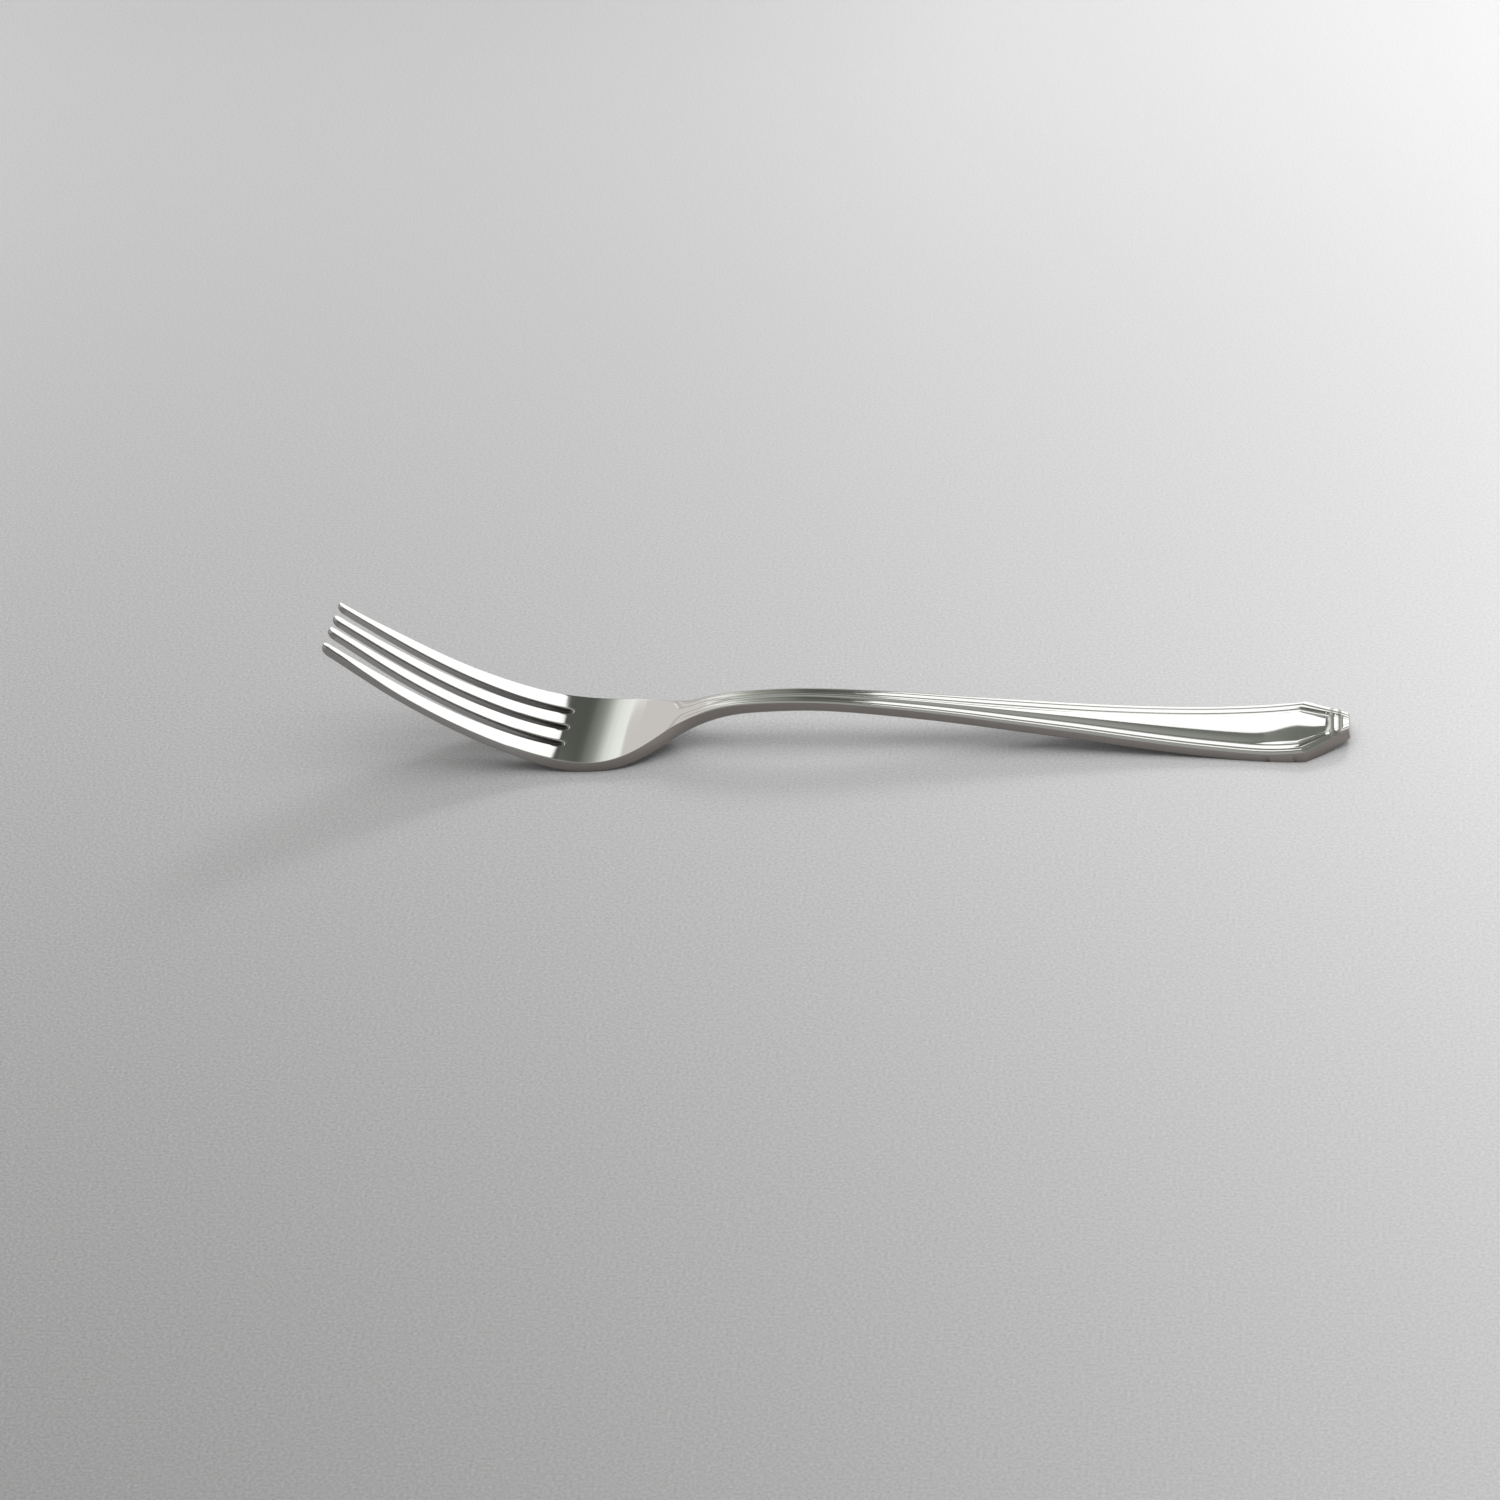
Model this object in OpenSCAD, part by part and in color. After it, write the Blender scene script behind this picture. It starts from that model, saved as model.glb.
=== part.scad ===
// Dinner fork, pressed and forged from one blank of stainless steel.
// It lies on its back along X: the tines curve up towards -X, and the handle runs towards +X.
// Each node is one stretch of the same forging, and neighbours meet face to face on one section.

/* [Lengths along the fork] */
// Length of the tines, from their tips to the closed ends of the slots
tine_len = 47.2; // [40:0.2:54]
// Length of the flat palm behind the slots
palm_len = 9.4; // [8:0.2:12]
// Length of the shoulders, from the palm to the neck
shoulder_len = 20; // [17:0.5:24]
// Length of the arched neck
neck_len = 22; // [18:0.5:28]
// Length of the slim stem behind the neck
stem_len = 46; // [36:1:58]
// Length of the widening grip, up to the corners of the handle
grip_len = 52.2; // [42:0.2:64]
// Length of the slanted end of the handle
end_len = 8.8; // [7:0.2:11]

/* [Widths] */
// Width across the head
head_w = 26.4; // [24:0.2:30]
// Width of a slot at its closed end
slot_w = 2.05; // [1.6:0.05:2.4]
// Width of each inner tine at the palm
inner_tine_w = 4.5; // [4:0.1:5]
// Width of every tine at its tip
tip_w = 1.9; // [1.5:0.1:2.3]
// Width of the middle slot at the tips
tip_gap = 3.1; // [2.6:0.1:3.5]
// Width of the neck
neck_w = 6; // [5:0.1:8]
// Width of the handle at its corners
handle_w = 20.6; // [17:0.2:24]
// Width of the blunt end of the handle
end_w = 7; // [5:0.2:9]

/* [Heights above the table] */
// Height of the rim at the tips of the outer tines
tip_h = 27.6; // [22:0.2:32]
// Height of the rim at the top of the arched neck
arch_h = 10.1; // [8:0.1:13]
// Height of the rim at the end of the handle
end_h = 3.4; // [2.8:0.1:4.4]

/* [Thickness of the side face] */
// At the tips of the tines
tip_t = 1.65; // [1.3:0.05:2]
// Along the palm
palm_t = 1.95; // [1.6:0.05:2.4]
// At the shoulders
shoulder_t = 2.3; // [1.9:0.05:2.8]
// At the top of the arch
arch_t = 1.75; // [1.4:0.05:2.2]
// Along the handle
handle_t = 1.48; // [1.2:0.04:2]
// On the slanted sides, where it is tallest
slant_t = 2.3; // [1.9:0.05:2.7]
// At the blunt end
end_t = 1.7; // [1.4:0.05:2.1]
// Extra depth of the rounded belly under the neck
belly = 0.6; // [0.2:0.1:1.2]

/* [Threads, crown and edges] */
// Width of the threaded border of the handle
thread_w = 4; // [3.2:0.1:4.6]
// Height of the threads above the rim
thread_h = 0.32; // [0.16:0.02:0.5]
// Width of the bevel across the end of the handle
bevel_w = 1.6; // [1:0.1:2]
// Depth of that bevel
bevel_h = 0.2; // [0.1:0.05:0.6]
// Height of the crown across the tips
tip_crown = 0.42; // [0.1:0.02:0.8]
// Height of the crown across the palm
palm_crown = 0.16; // [0.04:0.02:0.3]
// Width of the rounding along every edge
round_w = 0.25; // [0.15:0.01:0.4]
// Height of that rounding
round_h = 0.12; // [0.06:0.01:0.2]

/* [Hidden] */
steel = [0.77, 0.77, 0.75];

// Depth to which the underside is ground flat where the fork rests, under the palm and under the grip
grind = 0.05;
// The tips are cut square to the rising tines, so they lean out past the rim, and the end of the handle leans
// out a little less: the difference is this share of the thickness at the tips
lean_share = 0.09;
tip_lean = lean_share * (tip_t + 2 * round_h);

// Stations along X, with the origin half way along the fork
run_len = tine_len + palm_len + shoulder_len + neck_len + stem_len + grip_len + end_len;
x_tip = -(run_len - tip_lean) / 2;
x_root = x_tip + tine_len;
x_palm = x_root + palm_len;
x_neck = x_palm + shoulder_len;
x_waist = x_neck + neck_len / 4;
x_stem = x_neck + neck_len;
x_grip = x_stem + stem_len;
x_corner = x_grip + grip_len;
x_end = x_corner + end_len;
x_rest = x_corner - end_len;
x_terminal = x_corner - thread_w / 2;

// Rim heights at which the palm and the grip touch the table
palm_z = palm_t + round_h - grind;
grip_z = handle_t + round_h - grind;

// Half widths, and the middle of a side slot
head_half = head_w / 2;
neck_half = neck_w / 2;
corner_half = handle_w / 2;
end_half = end_w / 2;
slot_half = slot_w / 2;
side_slot = slot_w + inner_tine_w;

function lerp(a, b, s) = a + (b - a) * s;
function clamped(s) = min(max(s, 0), 1);
function ease(s) = let(t = clamped(s)) t * t * (3 - 2 * t);
// Quarter circle that rises from 0 to 1
function quarter(s) = sqrt(1 - (1 - clamped(s)) ^ 2);

// Smooth curve through a list of points: the stretch that holds x, the slope at a point, the value at x
function stretch(p, x, i = 0) = i >= len(p) - 2 || x < p[i + 1][0] ? i : stretch(p, x, i + 1);
function chord(p, i) = (p[i + 1][1] - p[i][1]) / (p[i + 1][0] - p[i][0]);
function point_slope(p, i) =
    i == 0 ? chord(p, 0)
    : i == len(p) - 1 ? chord(p, i - 1)
    : let(before = p[i][0] - p[i - 1][0], after = p[i + 1][0] - p[i][0])
      (chord(p, i - 1) * after + chord(p, i) * before) / (before + after);
function smooth(p, x) =
    let(i = stretch(p, x), run = p[i + 1][0] - p[i][0], s = clamped((x - p[i][0]) / run))
    let(m = point_slope(p, i) * run, n = point_slope(p, i + 1) * run)
    p[i][1] * (1 + 2 * s) * (1 - s) ^ 2 + p[i + 1][1] * s ^ 2 * (3 - 2 * s)
        + m * s * (1 - s) ^ 2 - n * s ^ 2 * (1 - s);
// A table of shares, laid from x0 to x1 and from value v0 to v1
function laid(shares, x0, x1, v0, v1) = [for (s = shares) [lerp(x0, x1, s[0]), lerp(v0, v1, s[1])]];
function backwards(list) = [for (k = [len(list) - 1:-1:0]) list[k]];

// Side view: the rim climbs from the palm to the tips and the arch, falls to the grip, and rises to the end
tine_rise_shares = [[0, 0.02], [0.14, 0.084], [0.31, 0.205], [0.48, 0.359], [0.66, 0.556], [0.83, 0.77], [1, 1]];
arch_rise_shares = [[0, 0.004], [0.07, 0.004], [0.145, 0.068], [0.23, 0.178], [0.315, 0.345], [0.4, 0.532],
                    [0.486, 0.711], [0.572, 0.846], [0.66, 0.927], [0.743, 0.966], [0.83, 0.99], [0.92, 1],
                    [1, 0.991]];
arch_fall_shares = [[0.08, 0.938], [0.163, 0.851], [0.285, 0.694], [0.41, 0.518], [0.53, 0.354], [0.65, 0.199],
                    [0.735, 0.105], [0.815, 0.039], [0.87, 0.011]];
end_rise_shares = [[0, 0], [0.15, 0.03], [0.35, 0.17], [0.5, 0.32], [0.69, 0.56], [0.84, 0.77], [1, 1]];
rim_line = concat(
    backwards(laid(tine_rise_shares, x_root, x_tip, palm_z, tip_h)),
    laid(arch_rise_shares, x_root + palm_len / 2, x_stem, palm_z, arch_h),
    laid(arch_fall_shares, x_stem, x_corner, grip_z, arch_h),
    laid(end_rise_shares, x_rest, x_end, grip_z, end_h));
function rim_z(x) = smooth(rim_line, x);
function rim_slope(x) = (rim_z(x + round_w) - rim_z(x - round_w)) / (2 * round_w);

// Plan view: half the width, from the slots to the neck and from the neck to the corners
head_shares = [[0, 0.995], [0.1, 1], [0.21, 0.98], [0.325, 0.897], [0.44, 0.708], [0.555, 0.427], [0.67, 0.167],
               [0.785, 0.06], [0.9, 0.017], [1, 0]];
handle_shares = [[0.08, 0], [0.145, 0.008], [0.285, 0.088], [0.39, 0.167], [0.49, 0.275], [0.6, 0.4],
                 [0.7, 0.547], [0.805, 0.725], [0.875, 0.855], [0.93, 0.955], [0.97, 0.995], [1, 1]];
outline = concat(
    laid(head_shares, x_root, x_waist, neck_half, head_half),
    laid(handle_shares, x_waist, x_corner, neck_half, corner_half));
function half_width(x) = smooth(outline, x);

// Height of the side face, the crown across the top, and the belly underneath
side_line = [[x_tip, tip_t], [x_root, palm_t], [x_palm, palm_t], [lerp(x_palm, x_neck, 0.5), shoulder_t],
             [lerp(x_palm, x_neck, 0.75), shoulder_t], [x_waist, lerp(arch_t, shoulder_t, 0.4)], [x_stem, arch_t],
             [x_grip, handle_t], [x_rest, handle_t], [lerp(x_corner, x_end, 0.4), slant_t], [x_end, end_t]];
crown_line = [[x_tip, tip_crown], [x_root, palm_crown], [x_palm, palm_crown], [x_neck, 0], [x_end, 0]];
belly_line = [[x_tip, 0], [x_palm, 0], [x_neck, belly], [x_stem, belly], [x_grip, belly / 3],
              [lerp(x_grip, x_corner, 0.5), 0], [x_end, 0]];
function side_height(x) = lookup(x, side_line);

// Bends a flat point, whose third number is its height over the rim, to its place along the fork
function bent(p) =
    let(m = rim_slope(p[0]), c = sqrt(1 + m ^ 2))
    [p[0] - p[2] * m / c, p[1], max(0, rim_z(p[0]) + p[2] / c)];
function mirrored(points) = [for (p = points) [p[0], -p[1], p[2]]];

// Solid skin over rings that all have as many points
module skin(rings) {
    n = len(rings[0]);
    last = len(rings) - 1;
    sides = [for (i = [0:last - 1], k = [0:n - 1])
        let(a = i * n + k, b = i * n + (k + 1) % n)
        each [[a, a + n, b], [b, a + n, b + n]]];
    ends = [[for (k = [0:n - 1]) k], [for (k = [n - 1:-1:0]) last * n + k]];
    points = [for (r = rings, p = r) bent(p)];
    color(steel) polyhedron(points, concat(sides, ends), convexity = 6);
}

// Tines: shares of the way from the tip to the palm, and of the growth in width on that way
taper_shares = [[0, 0], [0.1, 0.08], [0.25, 0.31], [0.4, 0.47], [0.6, 0.64], [0.8, 0.82], [1, 1]];
// Rings of a tine: the rounded tip, the even run, and the round end of the slots
tip_ring_shares = [0.06, 0.2, 0.45, 0.75];
root_ring_shares = [1, 0.6, 0.3, 0.12, 0.03, 0];
even_end_share = 0.75;
tine_steps = 15;
tine_stations = concat(
    [for (s = tip_ring_shares) x_tip + s * tip_w / 2],
    [for (k = [0:tine_steps]) lerp(x_tip + tip_w / 2, x_root - even_end_share * slot_w, k / tine_steps)],
    [for (s = root_ring_shares) x_root - s * slot_half]);
// How wide a tine is where it is root wide at the palm
function tine_width(x, root) = lerp(tip_w, root, smooth(taper_shares, (x - x_tip) / tine_len));
// The tip is narrowed to a half round, and each slot closes in a half round of its own
function tip_share(x) = quarter((x - x_tip) / (tip_w / 2));
function slot_share(x) = quarter((x_root - x) / slot_half);
function inner_edge(x, outer) =
    outer ? side_slot + slot_half : lerp(tip_gap / 2, slot_half, (x - x_tip) / tine_len);
function outer_edge(x, outer) =
    inner_edge(x, outer) + tine_width(x, outer ? half_width(x_root) - side_slot - slot_half : inner_tine_w);

// Rounding of an edge, as shares of its width inwards and of its height upwards
edge_shares = [[0, 0], [0.3, 0.6], [1, 1]];
// Each top swells a little between its edges, by this share of the rounding
swell_share = 0.33;
// The underside of a tip is rounded this many times as far as its top
tip_under_times = 5;
// The tips are cut more upright than square, by this share of their thickness
upright_share = 0.26;
// Section of a tine. An edge on a closing slot loses its rounding, so that the tines meet the palm whole
least_round_share = 0.04;
function upright(x) = upright_share * tip_t * clamped(1 - (x - x_tip) / tip_w);
function tine_section(x, outer) =
    let(a0 = inner_edge(x, outer), b0 = outer_edge(x, outer), mid = (a0 + b0) / 2, open = slot_share(x))
    let(a1 = lerp(outer ? side_slot : 0, a0, open), b1 = outer ? b0 : lerp(side_slot, b0, open))
    let(a = lerp(mid, a1, tip_share(x)), b = lerp(mid, b1, tip_share(x)), t = side_height(x))
    let(ra = max(open, least_round_share), rb = outer ? 1 : ra, whole = outer_edge(x, true))
    let(tip_drop = round_h * (1 - tip_share(x)))
    let(profile = concat(
        [for (e = edge_shares) [b - round_w * rb * e[0] * tip_share(x), 1 - rb * (1 - e[1])]],
        [[(a + b) / 2, 1 + open * tip_share(x) * swell_share]],
        [for (e = backwards(edge_shares)) [a + round_w * ra * e[0] * tip_share(x), 1 - ra * (1 - e[1])]]))
    let(bow = lookup(x, crown_line), follow = (x_root - x) / tine_len)
    concat(
        [for (p = profile) [x, p[0], round_h * p[1] - tip_drop + bow * (1 - (p[0] / whole) ^ 2)]],
        [for (p = backwards(profile))
            let(drop = t + round_h * min(p[1], 1) - tip_under_times * tip_drop)
            [x + upright(x), p[0], follow * bow * (1 - (p[0] / whole) ^ 2) - drop]]);
module tine(outer) { skin([for (x = tine_stations) tine_section(x, outer)]); }
module tine_outer_right() { tine(true); }
module tine_inner_right() { tine(false); }
module tine_inner_left() { mirror([0, 1, 0]) tine_inner_right(); }
module tine_outer_left() { mirror([0, 1, 0]) tine_outer_right(); }

// Threads, from the rim inwards: shares of the border's width, and of the threads' height
thread_shares = [[0, 0], [0.06, 0.35], [0.35, 0.68], [0.41, 0.5], [0.54, 1], [0.69, 0.62], [0.82, 0.86], [1, 0.45]];
// The middle panel: shares of its half width, and of the threads' height
panel_shares = [[0.5, 0.95], [0, 1.15]];
// Width of the border where the fork is w wide on either side
narrow_share = 0.82;
function border(w) = (thread_w ^ -6 + (narrow_share * w) ^ -6) ^ (-1 / 6);
// The threads rise out of the shoulders, from one share of their length to the other
relief_from_share = 0.4;
relief_to_share = 0.75;
function relief(x) =
    let(s = (x - x_palm) / shoulder_len)
    ease((s - relief_from_share) / (relief_to_share - relief_from_share));

// At the slanted end the rim is lifted, a bead runs across, and a bevel drops to the blunt end
end_rim_share = 0.5;
end_bead_shares = [[0.58, 0.45], [0.64, 0.4], [0.72, 1.1], [0.79, 0.55], [0.83, 1], [1, 1]];
across_share = 0.6;
// The border's corners step back along X by this share of their distance from the rim
mitre_share = 0.34;
end_taper_share = 0.92;

// Height of the top over the rim at x and y, where s is its pair of shares
function plain_height(x, y, w) =
    round_h * clamped((w - abs(y)) / round_w) ^ 0.5 + lookup(x, crown_line) * (1 - (y / w) ^ 2);
function thread_height(x, s, b, inside) =
    let(e = (x - x_corner) / end_len, lift = end_rim_share * ease((x - x_terminal) / thread_w))
    let(own = inside ? s[1] : max(s[1], lift))
    let(across = inside && e > end_bead_shares[0][0] ? lookup(e, end_bead_shares) : own)
    thread_h * b / thread_w * across - bevel_h * clamped((x - x_end + bevel_w) / bevel_w);
// Place of the top point that lies inward of the rim by the share u of the border, or on the panel at share g
function top_place(x, u, g) =
    let(w = half_width(x), b = border(w), shift = mitre_share * thread_w * u)
    x <= x_terminal ? [x, g * (w - b * u)]
    : x <= x_corner ? [x - shift * (x - x_terminal) / (x_corner - x_terminal), g * (w - b * u)]
    : let(e = (x - x_corner) / end_len)
      [x - shift * (1 - e), g * lerp(corner_half - thread_w * u, end_half * (1 - end_taper_share * u), e)];
function top_point(x, u, g, s) =
    let(p = top_place(x, u, g), w = x <= x_corner ? half_width(x) : corner_half, b = border(w))
    [p[0], p[1], lerp(plain_height(x, p[1], w), thread_height(x, s, b, u > across_share), relief(x))];
// One half of the top of a section, from the rim to the middle line
function half_top(x) = concat(
    [for (s = thread_shares) top_point(x, s[0], 1, s)],
    [for (s = panel_shares) top_point(x, 1, s[0], s)]);

// One half of the underside, from the edge to near the middle line
flat_shares = [0.6, 0.25];
function half_under(x) =
    let(w = top_place(x, 0, 1)[1], t = side_height(x), deep = lookup(x, belly_line))
    [for (p = concat([for (e = edge_shares) [w - round_w * e[0], e[1]]], [for (s = flat_shares) [w * s, 1]]))
        [x, p[0], -t - round_h * p[1] - deep * (1 - (p[0] / w) ^ 2)]];

// Closed section of the fork at x, behind the slots
function section(x) =
    let(top = half_top(x), under = half_under(x), shared = len(top) - 1)
    let(left = mirrored([for (k = [shared - 1:-1:0]) top[k]]))
    concat(top, left, mirrored(under), backwards(under));
module run(from, to, steps) { skin([for (k = [0:steps]) section(lerp(from, to, k / steps))]); }

module palm() { run(x_root, x_palm, 9); }
module shoulder() { run(x_palm, x_neck, 14); }
module neck() { run(x_neck, x_stem, 11); }
module stem() { run(x_stem, x_grip, 12); }
module grip() { run(x_grip, x_terminal, 24); }
// Rings of the slanted end: shares of its length, with one at each break of the bead and the bevel
end_ring_shares = [0, 0.2, 0.4, 0.58, 0.64, 0.68, 0.72, 0.75, 0.79, 0.83, 1];
module terminal() {
    up_to_corner = [x_terminal, (x_terminal + x_corner) / 2];
    past_corner = [for (s = end_ring_shares) lerp(x_corner, x_end, s)];
    skin([for (x = concat(up_to_corner, past_corner)) section(x)]);
}

tine_outer_left();
tine_inner_left();
tine_inner_right();
tine_outer_right();
palm();
shoulder();
neck();
stem();
grip();
terminal();
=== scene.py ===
import math
import bpy
import numpy as np
from mathutils import Matrix, Vector
from mathutils.geometry import delaunay_2d_cdt


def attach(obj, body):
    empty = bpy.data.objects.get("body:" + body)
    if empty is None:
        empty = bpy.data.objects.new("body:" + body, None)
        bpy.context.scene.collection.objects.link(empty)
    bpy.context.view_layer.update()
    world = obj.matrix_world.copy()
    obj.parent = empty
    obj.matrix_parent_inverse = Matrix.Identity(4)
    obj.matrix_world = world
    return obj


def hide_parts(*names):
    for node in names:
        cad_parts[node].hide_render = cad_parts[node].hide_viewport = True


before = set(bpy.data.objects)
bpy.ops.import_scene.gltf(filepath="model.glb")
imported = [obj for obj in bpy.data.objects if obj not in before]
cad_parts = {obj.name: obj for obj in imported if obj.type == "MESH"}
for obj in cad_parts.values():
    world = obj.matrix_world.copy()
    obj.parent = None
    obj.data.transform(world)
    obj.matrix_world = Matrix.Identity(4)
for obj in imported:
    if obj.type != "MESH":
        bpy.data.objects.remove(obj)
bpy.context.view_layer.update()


# Camera: a long lens on a stand in front of the fork. It looks down at the table from 30 degrees and is
# tipped a little to one side. Place, direction and lens come from a fit to the tips, slots and corners.

scene = bpy.context.scene
scene.view_settings.view_transform = "Standard"
mm = 0.001
lens_in_pixels, photo_width_in_pixels = 4565, 1500
camera_aim = Vector((-18.115, -3.6, -0.6)) * mm
camera_distance = 930 * mm
camera_down = math.radians(30.29)
camera_turn = math.radians(-9.0)
camera_roll = math.radians(-4.79)
level_sight = Vector((math.sin(camera_turn), math.cos(camera_turn), 0))
sight = level_sight * math.cos(camera_down) + Vector((0, 0, -math.sin(camera_down)))
level_right = sight.cross(Vector((0, 0, 1))).normalized()
level_up = level_right.cross(sight)
right = level_right * math.cos(camera_roll) + level_up * math.sin(camera_roll)
up = -level_right * math.sin(camera_roll) + level_up * math.cos(camera_roll)

bpy.ops.object.camera_add()
camera = bpy.context.object
camera.name = "camera"
camera.data.sensor_width = 36
camera.data.sensor_fit = "HORIZONTAL"
camera.data.lens = lens_in_pixels / photo_width_in_pixels * camera.data.sensor_width
camera.data.clip_start = 0.01
camera.data.clip_end = 100
camera.data.dof.use_dof = False
place = camera_aim - sight * camera_distance
camera.matrix_world = Matrix((
    (right.x, up.x, -sight.x, place.x),
    (right.y, up.y, -sight.y, place.y),
    (right.z, up.z, -sight.z, place.z),
    (0, 0, 0, 1)))
scene.camera = camera


# Table: a wide sheet of pale grey paper with a fine grain, laid flat on the table top. Painted light makes
# it paler to the right and at the back, towards the window, and its grain shows most near the fork.


class Wire:
    """A socket's value in a material, on which arithmetic adds Math nodes."""

    def __init__(self, tree, socket):
        self.tree = tree
        self.socket = socket

    def node(self, kind, settings=None, sockets=None, out=0):
        """Adds a node: its settings or a ramp's stops come first, then its sockets' values or links."""
        made = self.tree.nodes.new(kind)
        for name, value in (settings or {}).items():
            if name == "stops":
                ramp = made.color_ramp.elements
                for k, (position, colour) in enumerate(value):
                    stop = ramp[k] if k < 2 else ramp.new(position)
                    stop.position = position
                    stop.color = colour
            else:
                setattr(made, name, value)
        for name, value in (sockets or {}).items():
            if isinstance(value, Wire):
                self.tree.links.new(value.socket, made.inputs[name])
            else:
                made.inputs[name].default_value = value
        return None if out is None else Wire(self.tree, made.outputs[out])

    def sum_node(self, operation, a, b):
        return self.node("ShaderNodeMath", {"operation": operation}, {0: a, 1: b})

    def __add__(self, other):
        return self.sum_node("ADD", self, other)

    __radd__ = __add__

    def __sub__(self, other):
        return self.sum_node("SUBTRACT", self, other)

    def __rsub__(self, other):
        return self.sum_node("SUBTRACT", other, self)

    def __mul__(self, other):
        return self.sum_node("MULTIPLY", self, other)

    __rmul__ = __mul__

    def clamped(self, low=0.0, high=1.0):
        return self.node("ShaderNodeClamp", None, {"Value": self, "Min": low, "Max": high})


def new_material(name):
    material = bpy.data.materials.new(name)
    material.use_nodes = True
    material.node_tree.nodes.clear()
    start = Wire(material.node_tree, None)
    return material, start


paper_size, paper_middle = 12, (0, 2, 0)
bpy.ops.object.select_all(action="DESELECT")
bpy.ops.mesh.primitive_plane_add(size=paper_size, location=paper_middle)
table = bpy.context.object
table.name = "table"
bpy.ops.object.transform_apply(location=True, rotation=True, scale=True)

paper, start = new_material("grey_paper")
paper_place = start.node("ShaderNodeTexCoord", None, None, "Object")
paper_x = start.node("ShaderNodeSeparateXYZ", None, {"Vector": paper_place}, "X").clamped(-0.28, 0.16)
paper_y = start.node("ShaderNodeSeparateXYZ", None, {"Vector": paper_place}, "Y").clamped(-0.25, 0.42)
paper_right, paper_far = paper_x.clamped(0.0, 0.2), paper_y.clamped(0.0, 0.42)
paper_near = (paper_y * -1.0).clamped(0.0, 0.25)
# Painted light: slopes and bends of the paper's brightness along the table, across it and near its front and
# far sides
painted_light_on_paper = (paper_x * (paper_x * 7.0 + 2.4 - paper_y * 1.9)
            + paper_y * (0.79 - paper_y * (paper_y * 2.37 + 1.18))
            - paper_far * (paper_right * 4.2 + 0.35 - paper_far * 0.5)
            - paper_near * (paper_x * 2.5 + 0.25) + 1.345)
grains_per_metre = 1700.0
grain = start.node("ShaderNodeTexNoise", None, {
    "Vector": paper_place, "Scale": grains_per_metre, "Detail": 2.0}, "Fac")
grain_depth = ((paper_y * -2.0 + 0.4).clamped(0.0, 0.38) + 0.3) * (0.85 - paper_x * 1.6)
paper_grey = (0.50, 0.496, 0.508)
paper_colour_and_painted_light = start.node("ShaderNodeVectorMath", {"operation": "SCALE"}, {
    0: paper_grey, "Scale": painted_light_on_paper * ((grain - 0.5) * grain_depth + 1.0)})
paper_shader = start.node("ShaderNodeBsdfPrincipled", None, {
    "Base Color": paper_colour_and_painted_light, "Roughness": 0.75, "Specular IOR Level": 0.2})
start.node("ShaderNodeOutputMaterial", None, {"Surface": paper_shader}, None)
table.data.materials.append(paper)


# Room: a dim studio with plain painted walls. On the far side a pale wall shows low down and the ceiling is
# lighter. On the camera's side the room is dim, and steel also shows the pale backdrop that hangs there.

world = bpy.data.worlds.new("room")
scene.world = world
world.use_nodes = True
world.node_tree.nodes.clear()
room = Wire(world.node_tree, None)
heading = room.node("ShaderNodeTexCoord", None, None, "Generated")
height = room.node("ShaderNodeSeparateXYZ", None, {"Vector": heading}, "Z")
behind = room.node("ShaderNodeSeparateXYZ", None, {"Vector": heading}, "Y")
# The ramps run over the sine of the height at which the room is seen
far_side = room.node("ShaderNodeValToRGB", {"stops": [
    (0.0, (0.62, 0.60, 0.59, 1)), (0.20, (0.60, 0.58, 0.57, 1)), (0.26, (0.14, 0.145, 0.13, 1)),
    (0.54, (0.13, 0.135, 0.12, 1)), (0.575, (0.27, 0.28, 0.255, 1)), (0.61, (0.39, 0.40, 0.37, 1)),
    (0.67, (0.48, 0.49, 0.46, 1)), (1.0, (0.52, 0.52, 0.5, 1))]}, {"Fac": height})
dim_side = room.node("ShaderNodeValToRGB", {"stops": [
    (0.0, (0.17, 0.16, 0.16, 1)), (0.3, (0.13, 0.13, 0.12, 1)), (0.7, (0.26, 0.26, 0.25, 1)),
    (1.0, (0.48, 0.48, 0.46, 1))]}, {"Fac": height})
pale_side = room.node("ShaderNodeValToRGB", {"stops": [
    (0.0, (0.92, 0.9, 0.88, 1)), (0.22, (0.9, 0.88, 0.86, 1)), (0.36, (0.4, 0.4, 0.385, 1)),
    (0.5, (0.2, 0.2, 0.19, 1)), (0.78, (0.22, 0.22, 0.21, 1)), (0.92, (0.5, 0.5, 0.48, 1)),
    (1.0, (0.65, 0.65, 0.63, 1))]}, {"Fac": height})
mirrored = room.node("ShaderNodeLightPath", None, None, "Is Glossy Ray")
near_side = room.node("ShaderNodeMix", {"data_type": "RGBA"}, {0: mirrored, 6: dim_side, 7: pale_side}, 2)
turning = (behind * 2.5 + 0.5).clamped()
room_colour = room.node("ShaderNodeMix", {"data_type": "RGBA"}, {0: turning, 6: near_side, 7: far_side}, 2)
eye = room.node("ShaderNodeLightPath", None, None, "Is Camera Ray")
backdrop_grey = (0.78, 0.78, 0.78, 1)
seen = room.node("ShaderNodeMix", {"data_type": "RGBA"}, {0: eye, 6: room_colour, 7: backdrop_grey}, 2)
backdrop = room.node("ShaderNodeBackground", None, {"Color": seen, "Strength": 1.0})
room.node("ShaderNodeOutputWorld", None, {"Surface": backdrop}, None)


# Window, reflector and wall: a tall window of diffused light behind the fork to the right, a reflector card
# that fades behind it to the left, and the edge of a pinkish wall beside the card. The card and the wall are
# no lamps but panels that glow, painted light for the light that they send back. The polished steel shows
# them, and the camera doesn't.


def glowing(name, colour, strength):
    material, start = new_material(name)
    glow = start.node("ShaderNodeEmission", None, {"Color": (*colour, 1), "Strength": strength})
    start.node("ShaderNodeOutputMaterial", None, {"Surface": glow}, None)
    return material


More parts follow.
